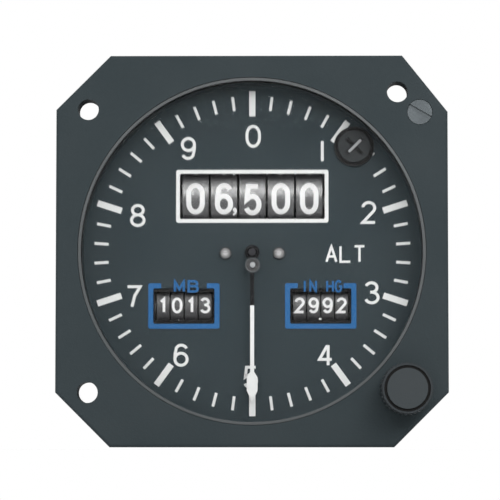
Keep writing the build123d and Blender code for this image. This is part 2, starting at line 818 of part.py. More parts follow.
def altitude_counter():
    y, z = altitude_axis_y, altitude_window_z
    edge = altitude_counter_half + body_gap
    sleeve_radius = drum_axle_radius + run_gap + sleeve_wall
    first_fixed = altitude_drum_count - fixed_drum_count
    turning = first_fixed - 1
    free_bore = drum_axle_radius + run_gap
    save("ten_thousands_drum", altitude_drum(0, free_bore))
    save("thousands_drum", altitude_drum(1, free_bore))
    save("hundreds_drum", altitude_drum(turning, drum_axle_radius))
    fixed = [altitude_drum(index, sleeve_radius) for index in range(first_fixed, altitude_drum_count)]
    save("zero_drums", *fixed)
    sleeve_left = -altitude_counter_half + first_fixed * altitude_drum_pitch + drum_gap / 2
    sleeve = cross_rod(y, z, sleeve_radius, sleeve_left, edge + cheek_thickness)
    sleeve -= cross_rod(y, z, free_bore, sleeve_left, edge + cheek_thickness)
    body = cheek(y, z, y, free_bore, -edge - cheek_thickness) + cheek(y, z, y, sleeve_radius, edge)
    base = plate(0, z, 2 * (edge + cheek_thickness), 2 * cheek_half_height)
    body += slab(base, front_plate_y - cheek_thickness, front_plate_y)
    save("altitude_bracket", body, sleeve)
    bevel = Plane(origin=(counter_lay_x, y, z), x_dir=(0, 1, 0), z_dir=(1, 0, 0)) * bevel_gear(0)
    axle_end = counter_lay_x - bevel_radius + bevel_face
    axle = cross_rod(y, z, drum_axle_radius, -edge - cheek_thickness - shaft_end, axle_end)
    save("altitude_axle", axle + bevel)
    turned = 0.5 * 360 / bevel_teeth
    shaft_bevel = Plane(origin=(counter_lay_x, y, z), x_dir=(1, 0, 0), z_dir=(0, -1, 0)) * bevel_gear(turned)
    shaft = rod(counter_lay_x, z, arbor_radius, y + bevel_radius - bevel_face, mid_plate_y + plate_thickness)
    outline = Pos(counter_lay_x, z) * gear_outline(counter_gear_teeth, counter_module, counter_lay_phase)
    shaft += slab(outline, counter_gear_y, counter_gear_y + gear_face)
    save("counter_layshaft", shaft + shaft_bevel)
    x, z = counter_idler_spot
    outline = Pos(x, z) * gear_outline(counter_gear_teeth, counter_module, counter_idler_phase)
    outline -= disc(x, z, stud_radius + run_gap)
    save("counter_idler", slab(outline, counter_gear_y, counter_gear_y + gear_face))


def baro_counters():
    y, z = baro_axis_y, baro_window_z
    free_bore = baro_axle_radius + run_gap
    names = ("ten_inches_drum", "inches_drum", "tenths_drum")
    for index, name in enumerate(names):
        save(name, baro_drum(1, index, free_bore))
    names = ("thousand_millibars_drum", "hundred_millibars_drum", "ten_millibars_drum")
    for index, name in enumerate(names):
        save(name, baro_drum(-1, index, free_bore))
    last = baro_drum_count - 1
    bevel = Plane(origin=(baro_lay_x, y, z), x_dir=(0, 1, 0), z_dir=(1, 0, 0)) * bevel_gear(0)
    axle_ends = (cross_gear_left - shaft_end, baro_lay_x - bevel_radius + bevel_face)
    axle = cross_rod(y, z, baro_axle_radius, *axle_ends)
    axle += Plane.YZ * Pos(y, z, 0) * cross_gear(cross_driver_teeth, cross_module, 0, cross_gear_left)
    save("hundredths_drum", baro_drum(1, last, baro_axle_radius), axle + bevel)
    wheel = Plane.YZ * Pos(y, z, 0) * cross_gear(
        millibar_wheel_teeth, millibar_module, millibar_phase, -cross_gear_right
    )
    axle_ends = (-outer_cheek_x - cheek_thickness - shaft_end, shaft_end - cross_gear_left)
    axle = cross_rod(y, z, baro_axle_radius, *axle_ends)
    save("millibars_drum", baro_drum(-1, last, baro_axle_radius), axle + wheel)
    wheel = Plane.YZ * Pos(cross_axis_y, z, 0) * cross_gear(
        cross_wheel_teeth, cross_module, cross_wheel_phase, cross_gear_left
    )
    pinion = Plane.YZ * Pos(cross_axis_y, z, 0) * cross_gear(
        cross_pinion_teeth, millibar_module, cross_pinion_phase, -cross_gear_right
    )
    end = inner_cheek_x + cheek_thickness
    save("cross_layshaft", cross_rod(cross_axis_y, z, arbor_radius, -end, end) + wheel + pinion)
    brackets = []
    for side in (-1, 1):
        inner_left = min(side * inner_cheek_x, side * (inner_cheek_x + cheek_thickness))
        outer_left = min(side * outer_cheek_x, side * (outer_cheek_x + cheek_thickness))
        body = cheek(y, z, y, free_bore, inner_left)
        body -= cross_rod(cross_axis_y, z, arbor_radius + run_gap, inner_left, inner_left + cheek_thickness)
        body += cheek(y, z, tab_front if side > 0 else y, free_bore, outer_left)
        low, high = sorted((side * inner_cheek_x, side * (outer_cheek_x + cheek_thickness)))
        base = plate((low + high) / 2, z, high - low, 2 * cheek_half_height)
        body += slab(base, front_plate_y - cheek_thickness, front_plate_y)
        if side > 0:
            tab = disc(baro_lay_x, z, tab_half_width)
            reach = baro_lay_x - outer_cheek_x
            tab += plate(outer_cheek_x + reach / 2, z, reach, 2 * tab_half_width)
            tab -= disc(baro_lay_x, z, arbor_radius + run_gap)
            body += slab(tab, tab_front, tab_front + cheek_thickness)
        brackets.append(body)
    save("baro_brackets", *brackets)
    outline = Pos(baro_idler_x, baro_idler_z) * gear_outline(baro_idler_teeth, baro_module, baro_idler_phase)
    outline -= disc(baro_idler_x, baro_idler_z, stud_radius + run_gap)
    save("baro_idler", slab(outline, gear_front, gear_rear))
    turned = 0.5 * 360 / bevel_teeth
    facing = Plane(origin=(baro_lay_x, y, z), x_dir=(1, 0, 0), z_dir=(0, 1, 0))
    outline = Pos(baro_lay_x, z) * gear_outline(baro_lay_teeth, baro_module, baro_lay_phase)
    shaft = slab(outline, gear_front, gear_rear) + facing * bevel_gear(turned)
    shaft += rod(baro_lay_x, z, arbor_radius, gear_front - shaft_end, y - bevel_radius + bevel_face)
    save("baro_layshaft", shaft)


def cross_gear(teeth, module, phase, left):
    """A spur gear whose axis is local Z, in Y and Z once placed."""
    return Pos(0, 0, left) * extrude(gear_outline(teeth, module, phase), gear_face)


def train():
    """The wheels between the capsules' sector and the pointer, in the order of the drive."""
    pinion_lead = (pinion_face - wheel_face) / 2
    end = mid_plate_y + plate_thickness
    arbor = rod(0, drive_arbor_z, arbor_radius, gear_front - shaft_end, end)
    for teeth, module, phase, front, face in (
        (pointer_gear_teeth, fine_module, drive_phase, gear_front, gear_face),
        (counter_gear_teeth, counter_module, 0, counter_gear_y, gear_face),
        (drive_pinion_teeth, fine_module, 0, third_wheel_y - pinion_lead, pinion_face),
    ):
        arbor += slab(Pos(0, drive_arbor_z) * gear_outline(teeth, module, phase), front, front + face)
    save("drive_arbor", arbor)
    x, z = third_spot
    arbor = rod(x, z, arbor_radius, front_plate_y, end)
    wheel = Pos(x, z) * gear_outline(third_wheel_teeth, fine_module, third_phase)
    arbor += slab(wheel, third_wheel_y, third_wheel_y + wheel_face)
    pinion = Pos(x, z) * gear_outline(drive_pinion_teeth, fine_module, 0)
    arbor += slab(pinion, second_wheel_y - pinion_lead, second_wheel_y + wheel_face + pinion_lead)
    save("third_arbor", arbor)
    x, z = second_spot
    arbor = rod(x, z, arbor_radius, front_plate_y, sector_y + gear_face + second_arbor_end)
    wheel = Pos(x, z) * gear_outline(second_wheel_teeth, fine_module, second_phase)
    arbor += slab(wheel, second_wheel_y, second_wheel_y + wheel_face)
    pinion = Pos(x, z) * gear_outline(second_pinion_teeth, fine_module, 0)
    arbor += slab(pinion, sector_y - pinion_margin, sector_y + gear_face + pinion_margin)
    save("second_arbor", arbor)
    outline = gear_outline(sector_full_teeth, fine_module, sector_phase, sector_first, sector_teeth)
    outline += Circle(sector_hub_radius)
    outline -= Circle(arbor_radius)
    save("sector_gear", slab(outline, sector_y, sector_y + gear_face))


def rocking_shaft():
    """The shaft that the capsules turn, with its double-ended forked lever."""
    shaft = rod(0, 0, arbor_radius, mid_plate_y, rear_plate_y + plate_thickness)
    half = lever_arm + lever_overhang
    outline = Rectangle(lever_width, 2 * half)
    slot_half = lever_overhang + fork_slot_reach
    for side in (-1, 1):
        slot = plate(0, side * (half - slot_half / 2), 2 * (link_pin_radius + 2 * run_gap), slot_half)
        outline -= slot
    return shaft + slab(Rot(0, 0, lever_rest_angle) * outline, lever_front, lever_rear)


def link(side):
    """The strip from a capsule's stud to the pin in the lever's fork. The left one is above."""
    pin_x = side * math.radians(lever_rest_angle) * link_rate
    height = -side * lever_arm
    end = side * capsule_inner_x
    outline = plate((pin_x + end) / 2, height, abs(end - pin_x), link_width)
    outline += disc(pin_x, height, link_width / 2)
    body = slab(outline, link_front, link_front + link_thickness)
    return body + rod(pin_x, height, link_pin_radius, lever_front - shaft_end, link_front)


def capsule_stack(side):
    """Three sealed capsules on one stud, turned about the axis of their link."""
    height = -side * lever_arm
    dome, lip = capsule_radius * capsule_dome_share, capsule_radius * capsule_lip_share
    points = [(capsule_inner_x, 0)]
    for index in range(capsule_count):
        start = capsule_inner_x + index * capsule_pitch
        middle = start + capsule_pitch / 2
        points.append((start, capsule_stud_radius))
        points.append((start + capsule_neck, capsule_stud_radius))
        points.append((middle - capsule_shoulder, dome))
        points.append((middle - capsule_rim / 2, lip))
        points.append((middle - capsule_rim / 2, capsule_radius))
        points.append((middle + capsule_rim / 2, capsule_radius))
        points.append((middle + capsule_rim / 2, lip))
        points.append((middle + capsule_shoulder, dome))
        points.append((start + capsule_pitch - capsule_neck, capsule_stud_radius))
    points.append((capsule_outer_x + capsule_stud_end, capsule_stud_radius))
    points.append((capsule_outer_x + capsule_stud_end, 0))
    profile = make_face(Polyline([(side * x, r) for x, r in points], close=True))
    turned = revolve(profile, Axis.X)
    return Pos(0, capsule_y, height) * turned


def movement(post_screws):
    """The plates and posts that hold the train and the capsules."""
    posts = []
    for x, z in post_spots():
        post = rod(x, z, post_radius, ledge_rear, front_plate_y)
        post -= rod(x, z, post_screw_radius, ledge_rear, ledge_rear + post_thread)
        posts.append(post - rod(x, z, post_screw_radius, front_plate_y - post_thread, front_plate_y))
    save("front_posts", *posts)
    second, third = second_spot, third_spot
    front = Circle(plate_radius)
    front -= disc(0, drive_arbor_z, arbor_radius + body_gap)
    mid = Circle(plate_radius) - Circle(arbor_radius + run_gap)
    mid -= disc(0, drive_arbor_z, arbor_radius + run_gap)
    for x, z in (second, third, (counter_lay_x, altitude_window_z)):
        front -= disc(x, z, arbor_radius + run_gap)
        mid -= disc(x, z, arbor_radius + run_gap)
    front -= disc(*counter_idler_spot, stud_radius)
    rear = Circle(plate_radius) - Circle(arbor_radius + run_gap)
    for x, z in pillar_spots:
        front -= disc(x, z, post_screw_radius)
        mid -= disc(x, z, post_screw_radius)
        rear -= disc(x, z, post_screw_radius)
    for x, z in post_spots():
        front -= disc(x, z, post_screw_radius)
    save("front_plate", slab(front, front_plate_y, front_plate_y + plate_thickness))
    save("mid_plate", slab(mid, mid_plate_y, mid_plate_y + plate_thickness))
    save("rear_plate", slab(rear, rear_plate_y, rear_plate_y + plate_thickness))
    pillars = []
    screws = []
    for x, z in pillar_spots:
        start = front_plate_y + plate_thickness
        stud_end = mid_plate_y + plate_thickness + post_thread
        short = rod(x, z, pillar_radius, start, mid_plate_y)
        short += rod(x, z, post_screw_radius, mid_plate_y, stud_end)
        pillars.append(short - rod(x, z, post_screw_radius, start, start + post_thread))
        tall = rod(x, z, pillar_radius, mid_plate_y + plate_thickness, rear_plate_y)
        tall -= rod(x, z, post_screw_radius, mid_plate_y, stud_end)
        pillars.append(tall - rod(x, z, post_screw_radius, rear_plate_y - post_thread, rear_plate_y))
        screws.append(plate_screw(x, z, front_plate_y, 1))
        screws.append(plate_screw(x, z, rear_plate_y + plate_thickness, -1))
    for x, z in post_spots():
        screws.append(plate_screw(x, z, front_plate_y + plate_thickness, -1))
    save("plate_screws", *screws, *post_screws)
    studs = [
        rod(*counter_idler_spot, stud_radius, front_plate_y, counter_gear_y + gear_face + stud_margin),
        rod(baro_idler_x, baro_idler_z, stud_radius, gear_front, shoulder_depth),
    ]
    save("idler_studs", *studs)
    bars = []
    for side in (-1, 1):
        bar = plate(side * (capsule_outer_x + capsule_bar_gap), -side * lever_arm, *capsule_bar_section)
        bars.append(slab(bar, mid_plate_y + plate_thickness, rear_plate_y))
    save("pillars", *pillars, *bars)


def plate_screw(x, z, seat, direction):
    """A cheese-head screw whose head rests at depth seat, its thread running the given way."""
    head = sorted((seat - direction * small_screw_head, seat))
    thread = sorted((seat, seat + direction * (plate_thickness + plate_screw_thread)))
    screw = rod(x, z, plate_screw_head_radius, *head) + rod(x, z, post_screw_radius, *thread)
    slot_end = sorted((head[0 if direction > 0 else 1], seat - direction * (small_screw_head - slot_depth)))
    slot = plate(x, z, 2 * plate_screw_head_radius + body_gap, plate_slot_width)
    return screw - slab(slot, *slot_end)


def direction(start, end):
    return math.degrees(math.atan2(end[1] - start[1], end[0] - start[0]))


# Where the train's arbors stand, and the turn of each gear that puts it in mesh at rest
pointer_spot = (0, 0)
drive_spot = (0, drive_arbor_z)
third_offset = spot(third_reach, third_wheel_angle)
third_spot = (third_offset[0], drive_arbor_z + third_offset[1])
third_distance = math.hypot(*third_spot)
spread = (sector_reach**2 + third_distance**2 - second_reach**2) / (2 * sector_reach * third_distance)
second_angle = direction(pointer_spot, third_spot) - math.degrees(math.acos(spread))
second_spot = spot(sector_reach, second_angle)
drive_phase = mesh_phase(0, pointer_gear_teeth, direction(pointer_spot, drive_spot), pointer_gear_teeth)
counter_idler_phase = mesh_phase(0, counter_gear_teeth, counter_chain_angle, counter_gear_teeth)
counter_lay_phase = mesh_phase(
    counter_idler_phase, counter_gear_teeth, counter_chain_angle, counter_gear_teeth
)
third_phase = mesh_phase(0, drive_pinion_teeth, third_wheel_angle, third_wheel_teeth)
second_phase = mesh_phase(0, drive_pinion_teeth, direction(third_spot, second_spot), second_wheel_teeth)
sector_phase = mesh_phase(0, second_pinion_teeth, second_angle + 180, sector_full_teeth)
sector_middle = second_angle + lever_rest_angle
sector_first = round((sector_middle - sector_phase) * sector_full_teeth / 360 - (sector_teeth - 1) / 2)
knob_phase = 0
baro_idler_phase = mesh_phase(knob_phase, knob_pinion_teeth, idler_angle, baro_idler_teeth)
baro_lay_phase = mesh_phase(baro_idler_phase, baro_idler_teeth, baro_lay_angle, baro_lay_teeth)
cross_wheel_phase = mesh_phase(0, cross_driver_teeth, 0, cross_wheel_teeth)
cross_pinion_phase = 0
millibar_phase = mesh_phase(cross_pinion_phase, cross_pinion_teeth, 180, millibar_wheel_teeth)

bezel()
glass_parts()
save("dial_plate", dial_plate())
save("dial_marks", *dial_marks())
save("baro_window_frames", *baro_frames())
hidden_screws = front_screws()
save("case_shell", case_shell())
rings_and_screws(connector())
knob_parts()
pointer_parts()
save("pointer_bridge", pointer_bridge())
altitude_counter()
baro_counters()
train()
save("rocking_shaft", rocking_shaft())
for side, name in ((-1, "left"), (1, "right")):
    save(f"{name}_link", link(side))
    save(f"{name}_capsules", capsule_stack(side))
movement(hidden_screws)
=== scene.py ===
import json
import math

import bmesh
import bpy
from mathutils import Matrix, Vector

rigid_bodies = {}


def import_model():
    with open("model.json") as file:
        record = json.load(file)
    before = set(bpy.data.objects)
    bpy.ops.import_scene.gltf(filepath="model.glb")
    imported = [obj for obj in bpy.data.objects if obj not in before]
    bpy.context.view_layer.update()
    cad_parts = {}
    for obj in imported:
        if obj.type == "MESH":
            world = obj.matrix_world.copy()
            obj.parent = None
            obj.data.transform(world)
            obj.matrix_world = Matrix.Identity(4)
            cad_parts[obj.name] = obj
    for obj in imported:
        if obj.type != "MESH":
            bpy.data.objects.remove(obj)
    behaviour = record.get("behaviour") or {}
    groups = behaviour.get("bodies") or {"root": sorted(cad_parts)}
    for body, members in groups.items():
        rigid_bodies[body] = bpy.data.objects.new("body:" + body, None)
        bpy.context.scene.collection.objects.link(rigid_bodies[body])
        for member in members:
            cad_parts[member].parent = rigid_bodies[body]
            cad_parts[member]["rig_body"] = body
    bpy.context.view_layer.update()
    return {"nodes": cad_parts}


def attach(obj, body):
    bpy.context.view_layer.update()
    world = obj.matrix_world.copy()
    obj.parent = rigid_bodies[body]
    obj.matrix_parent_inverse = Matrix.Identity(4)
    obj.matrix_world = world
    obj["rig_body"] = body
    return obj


MM = 0.001
X, Y, Z = range(3)

# Places and sizes of the model, in millimetres: a spot is (x, z)
DIAL_FRONT = 2.0
PANEL_FRONT = -6.5
SKIN = 0.05
POINTER_PAINT_Z = -11.3
POINTER_FRONT = -0.6
HUB_RADIUS = 1.65
KNOB_FRONT = -19.0
KNOB_SPOT = (32.2, -29.3)
KNOB_GROOVE = (4.2, 4.8)
KNOB_GROOVE_DEPTH = 1.0
RIM_HEAD_FRONT = 0.9
DIAL_SCREW_X = 5.7

# The rivet on the pointer: its outline as radii with their depths, and how far its paints reach;
# its lighter outer ring and bright dome top are painted highlights
RIVET_SPOT = (0.1, -2.7)
RIVET_SHAPE = (
    (1.65, 0.02), (1.65, -0.18), (1.5, -0.26), (1.3, -0.18), (0.72, -0.18),
    (0.68, -0.40), (0.5, -0.56), (0.28, -0.64), (0.0, -0.67),
)
RIVET_RING = 1.32
RIVET_DOME = 0.6
TURNED_SIDES = 40

# Noise in the paints: the size of its patches against its grain, their share in the colour,
# the fineness of the bumps against the grain, the noise's usual range, and its octaves
CLOUD_SIZE = 16
CLOUD_SHARE = 0.45
BUMP_FINENESS = 2
NOISE_LOW = 0.3
NOISE_HIGH = 0.7
GRAIN_DETAIL = 4
CLOUD_DETAIL = 3
BUMP_DETAIL = 3

# The Mix node's colour sockets, which share their names with those of its other types
MIX_FIRST, MIX_SECOND = 6, 7
MIX_RESULT = 2

# Second colours of the paints
DIAL_BACK = (0.004, 0.004, 0.004)
POINTER_BLACK = (0.006, 0.006, 0.007)
RIVET_PAINTED_HIGHLIGHT = (0.36, 0.37, 0.38)
RIM_HEAD = (0.030, 0.034, 0.036)
SLOT_PAINTED_GLINT = (0.42, 0.43, 0.44)
GROOVE_PAINTED_SHADE = (0.001, 0.001, 0.001)
KNOB_FACE = (0.042, 0.050, 0.054)
HUB_PAINTED_SHADE = (0.02, 0.02, 0.022)

# A painted glint, standing for a reflection, on one arm of the rim screw's slot: Z minus X and Z
# plus X, each with its half width, and depths
GLINT_ACROSS = (1.0, 0.4)
GLINT_ALONG = (44.9, 2.6)
SLOT_FLOOR = (0.85, 1.28)

# Radii and tones of a painted highlight that gives the dial screws their round shine, lighter
# towards the middle; the dark base left outside them is painted shade
SCREW_PAINTED_SHINE = ((1.1, 0.10), (0.8, 0.17), (0.5, 0.32))

# Lettering, in millimetres and degrees
INK = 0.05
INK_ROOT = -0.06
STROKE_STEP = 0.004
LONGEST_STEP = 0.5
ARC_STEP = 9
MITRE_LIMIT = 0.42
NUMERAL_SPOTS = (
    (0.2, 25.1), (15.0, 21.9), (24.9, 8.7), (25.5, -8.5), (15.6, -21.8),
    (-0.4, -26.5), (-15.2, -21.8), (-25.3, -9.3), (-24.5, 8.1), (-13.7, 22.5),
)
NUMERAL_SIZE = (3.3, 4.9)
NUMERAL_STROKE = 0.62
POINT_SIZE = (0.58, 0.9)
POINT_SPOT = (14.5, -14.05)
POINT_RECESS = 0.3

# Drum counters, in millimetres and degrees: an axis is (y, z)
FIGURES = 10
FIGURE_STEP = 36
ALTITUDE_PRINT = {
    "axis": (17.5, 12.2), "radius": 14.0, "size": (4.0, 6.8), "stroke": 1.08, "slot": "drum_metal",
}
ALTITUDE_DRUMS = 5
ALTITUDE_PITCH = 6.1
ALTITUDE_TILT = -1.5
HUNDREDS_SAG = -0.8
COMMA_OFFSET = (2.3, -2.8)
COMMA_SIZE = (1.15, 1.75)
COMMA_STROKE = 0.42
BARO_PRINT = {
    "axis": (11.5, -11.3), "radius": 8.0, "size": (2.25, 3.4), "stroke": 0.56, "slot": "baro_drum",
}
BARO_X = 14.6
BARO_PITCH = 3.0
BARO_TILT = 1.5

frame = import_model()
nodes = frame["nodes"]


# Materials

class Paint:
    """A Principled material with its colour, roughness and bump driven by noise in object space."""

    def __init__(self, name, colour, spread, grain, rough, bump, metallic=0.0, specular=0.5,
                 stretch=(1, 1, 1)):
        self.material = bpy.data.materials.new(name)
        self.material.use_nodes = True
        self.tree = self.material.node_tree
        self.shader = self.tree.nodes["Principled BSDF"]
        self.shader.inputs["Metallic"].default_value = metallic
        self.shader.inputs["Specular IOR Level"].default_value = specular
        coordinate = self.tree.nodes.new("ShaderNodeTexCoord")
        mapping = self.tree.nodes.new("ShaderNodeMapping")
        mapping.inputs["Scale"].default_value = stretch
        self.place = coordinate.outputs["Object"]
        self.tree.links.new(self.place, mapping.inputs["Vector"])
        self.vector = mapping.outputs["Vector"]
        fine = self.noise(grain, GRAIN_DETAIL)
        cloud = self.noise(grain / CLOUD_SIZE, CLOUD_DETAIL)
        dark = [c * (1 - spread) for c in colour] + [1]
        light = [min(1, c * (1 + spread)) for c in colour] + [1]
        patchy = self.mix(cloud, dark, light)
        fine_colour = self.mix(fine, dark, light)
        self.colour = self.mix(CLOUD_SHARE, fine_colour, patchy)
        self.tree.links.new(self.colour, self.shader.inputs["Base Color"])
        span = self.tree.nodes.new("ShaderNodeMapRange")
        span.inputs["From Min"].default_value = NOISE_LOW
        span.inputs["From Max"].default_value = NOISE_HIGH
        span.inputs["To Min"].default_value = rough[0]
        span.inputs["To Max"].default_value = rough[1]
        self.tree.links.new(cloud, span.inputs["Value"])
        self.tree.links.new(span.outputs["Result"], self.shader.inputs["Roughness"])
        relief = self.tree.nodes.new("ShaderNodeBump")
        relief.inputs["Strength"].default_value = 1.0
        relief.inputs["Distance"].default_value = bump * MM
        self.tree.links.new(self.noise(grain * BUMP_FINENESS, BUMP_DETAIL), relief.inputs["Height"])
        self.tree.links.new(relief.outputs["Normal"], self.shader.inputs["Normal"])

    def noise(self, scale, detail):
        node = self.tree.nodes.new("ShaderNodeTexNoise")
        node.inputs["Scale"].default_value = scale
        node.inputs["Detail"].default_value = detail
        self.tree.links.new(self.vector, node.inputs["Vector"])
        return node.outputs["Fac"]

    def fill(self, node, values):
        """Links or sets the node's inputs, given by their numbers."""
        for index, value in values:
            if isinstance(value, bpy.types.NodeSocket):
                self.tree.links.new(value, node.inputs[index])
            else:
                node.inputs[index].default_value = value

    def mix(self, factor, first, second):
        node = self.tree.nodes.new("ShaderNodeMix")
        node.data_type = "RGBA"
        self.fill(node, ((0, factor), (MIX_FIRST, first), (MIX_SECOND, second)))
        return node.outputs[MIX_RESULT]

    def math(self, operation, first, second=0.0):
        node = self.tree.nodes.new("ShaderNodeMath")
        node.operation = operation
        self.fill(node, ((0, first), (1, second)))
        return node.outputs[0]

    def axis(self, index):
        """The coordinate along X, Y or Z, in metres."""
        node = self.tree.nodes.new("ShaderNodeSeparateXYZ")
        self.tree.links.new(self.place, node.inputs[0])
        return node.outputs[index]

    def radius(self, spot):
        """Distance from an axis that runs along Y, in metres."""
        x = self.math("SUBTRACT", self.axis(X), spot[0] * MM)
        z = self.math("SUBTRACT", self.axis(Z), spot[1] * MM)
        return self.math("SQRT", self.math("ADD", self.both(x, x), self.both(z, z)))

    def both(self, first, second):
        return self.math("MULTIPLY", first, second)

    def above(self, index, value):
        """1 where the coordinate is greater than the value, in millimetres."""
        return self.math("GREATER_THAN", self.axis(index), value * MM)

    def below(self, index, value):
        """1 where the coordinate is less than the value, in millimetres."""
        return self.math("LESS_THAN", self.axis(index), value * MM)

    def near(self, spot, reach):
        """1 within this reach, in millimetres, of an axis that runs along Y."""
        return self.math("GREATER_THAN", reach * MM, self.radius(spot))

    def within(self, operation, band):
        """1 where Z plus or minus X lies in the band: its middle and half width, in millimetres."""
        total = self.math(operation, self.axis(Z), self.axis(X))
        offset = self.math("ABSOLUTE", self.math("SUBTRACT", total, band[0] * MM))
        return self.math("LESS_THAN", offset, band[1] * MM)

    def tint(self, mask, colour):
        """Paints another colour where the mask is 1."""
        self.colour = self.mix(mask, self.colour, list(colour) + [1])
        self.tree.links.new(self.colour, self.shader.inputs["Base Color"])


bezel_paint = Paint("bezel_paint", (0.0275, 0.0385, 0.043),
                    spread=0.10, grain=1100, rough=(0.6, 0.75), bump=0.03, specular=0.2)
ring_paint = Paint("ring_paint", (0.040, 0.047, 0.050),
                   spread=0.1, grain=1500, rough=(0.4, 0.5), bump=0.01)
case_paint = Paint("case_paint", (0.021, 0.022, 0.025),
                   spread=0.12, grain=1600, rough=(0.56, 0.61), bump=0.05, specular=0.4)
rubber = Paint("rubber", (0.012, 0.012, 0.012),
               spread=0.2, grain=1500, rough=(0.7, 0.85), bump=0.02)
dial_paint = Paint("dial_paint", (0.0255, 0.039, 0.045),
                   spread=0.10, grain=1600, rough=(0.7, 0.85), bump=0.015, specular=0.25)
dial_paint.tint(dial_paint.above(Y, DIAL_FRONT + SKIN), DIAL_BACK)
white_paint = Paint("white_paint", (0.80, 0.81, 0.80),
                    spread=0.05, grain=2500, rough=(0.5, 0.65), bump=0.008, specular=0.3)
blue_paint = Paint("blue_paint", (0.010, 0.113, 0.31),
                   spread=0.10, grain=2500, rough=(0.5, 0.65), bump=0.008, specular=0.3)
digit_paint = Paint("digit_paint", (0.86, 0.86, 0.86),
                    spread=0.04, grain=2500, rough=(0.45, 0.6), bump=0.006, specular=0.1)
pointer_paint = Paint("pointer_paint", (0.80, 0.81, 0.80),
                      spread=0.05, grain=2500, rough=(0.55, 0.7), bump=0.008, specular=0.12)
pointer_paint.tint(pointer_paint.above(Z, POINTER_PAINT_Z), POINTER_BLACK)
rivet_paint = Paint("rivet_paint", (0.045, 0.052, 0.056),
                    spread=0.1, grain=2500, rough=(0.35, 0.5), bump=0.006, specular=0.5)
# Painted highlights: the outer ring keeps the lighter grey, a black ring lies inside it, and the
# dome's top is painted bright
rivet_paint.tint(rivet_paint.near(RIVET_SPOT, RIVET_RING), POINTER_BLACK)
rivet_paint.tint(rivet_paint.near(RIVET_SPOT, RIVET_DOME), RIVET_PAINTED_HIGHLIGHT)
drum_metal = Paint("drum_metal", (0.036, 0.036, 0.039),
                   spread=0.12, grain=1600, rough=(0.24, 0.30), bump=0.006,
                   stretch=(0.15, 1, 1), specular=1.0)
baro_drum = Paint("baro_drum", (0.020, 0.020, 0.022),
                  spread=0.12, grain=2500, rough=(0.32, 0.42), bump=0.006, specular=0.6)
black_screw = Paint("black_screw", (0.004, 0.004, 0.0045),
                    spread=0.2, grain=2500, rough=(0.45, 0.55), bump=0.008, specular=0.12)
black_screw.tint(black_screw.below(Y, RIM_HEAD_FRONT), RIM_HEAD)
# Painted highlight: one arm of the slot's floor is coloured light to stand for a reflection
slot_glint_mask = black_screw.both(black_screw.within("SUBTRACT", GLINT_ACROSS),
                        black_screw.within("ADD", GLINT_ALONG))
slot_glint_mask = black_screw.both(slot_glint_mask, black_screw.both(black_screw.above(Y, SLOT_FLOOR[0]),
                                               black_screw.below(Y, SLOT_FLOOR[1])))
black_screw.tint(slot_glint_mask, SLOT_PAINTED_GLINT)
knob_plastic = Paint("knob_plastic", (0.033, 0.039, 0.043),
                     spread=0.15, grain=2200, rough=(0.35, 0.45), bump=0.015, specular=0.12)
# The knob's groove is painted near black as painted shade in its recess; the face inside it gets
# its own grey
for reach, depth, colour in ((KNOB_GROOVE[1], KNOB_GROOVE_DEPTH, GROOVE_PAINTED_SHADE),
                             (KNOB_GROOVE[0], SKIN, KNOB_FACE)):
    knob_plastic.tint(knob_plastic.both(knob_plastic.near(KNOB_SPOT, reach),
                                        knob_plastic.below(Y, KNOB_FRONT + depth)), colour)
steel = Paint("steel", (0.42, 0.43, 0.45),
              spread=0.1, grain=2500, rough=(0.25, 0.4), bump=0.006, metallic=1.0,
              stretch=(1, 0.1, 1))
# Painted shade: the arbor's tip in front of the pointer is coloured near black to stand for the
# dark shade at the dial's centre
steel.tint(steel.both(steel.near((0, 0), HUB_RADIUS), steel.below(Y, POINTER_FRONT + SKIN)),
           HUB_PAINTED_SHADE)
# Dial screws: painted highlight rings brighter towards the middle over a dark base that stays as
# painted shade at the edge
bright_screw = Paint("bright_screw", (0.010, 0.011, 0.012),
                     spread=0.15, grain=3500, rough=(0.25, 0.4), bump=0.006, metallic=0.5)
for side in (-1, 1):
    for reach, tone in SCREW_PAINTED_SHINE:
        bright_screw.tint(bright_screw.near((side * DIAL_SCREW_X, 0), reach), (tone, tone, tone))
grey_screw = Paint("grey_screw", (0.050, 0.061, 0.067),
                   spread=0.15, grain=2500, rough=(0.35, 0.5), bump=0.008, metallic=0.4)
brass = Paint("brass", (0.55, 0.39, 0.15),
              spread=0.1, grain=2200, rough=(0.28, 0.42), bump=0.006, metallic=1.0,
              stretch=(1, 0.2, 1))
plate_metal = Paint("plate_metal", (0.48, 0.49, 0.51),
                    spread=0.08, grain=1800, rough=(0.35, 0.5), bump=0.008, metallic=1.0,
                    stretch=(0.2, 1, 1))
capsule_metal = Paint("capsule_metal", (0.50, 0.42, 0.24),
                      spread=0.1, grain=1800, rough=(0.3, 0.42), bump=0.008, metallic=1.0)
connector_metal = Paint("connector_metal", (0.10, 0.105, 0.055),
                        spread=0.18, grain=1500, rough=(0.4, 0.55), bump=0.012, metallic=0.6)
insert_plastic = Paint("insert_plastic", (0.020, 0.020, 0.023),
                       spread=0.15, grain=1500, rough=(0.5, 0.6), bump=0.012)
glass = Paint("glass", (0.96, 0.98, 0.98),
              spread=0.01, grain=300, rough=(0.0, 0.006), bump=0.0, specular=0.3)
glass.shader.inputs["Alpha"].default_value = 0.12
glass.shader.inputs["IOR"].default_value = 1.45
glass.shader.inputs["Transmission Weight"].default_value = 1.0

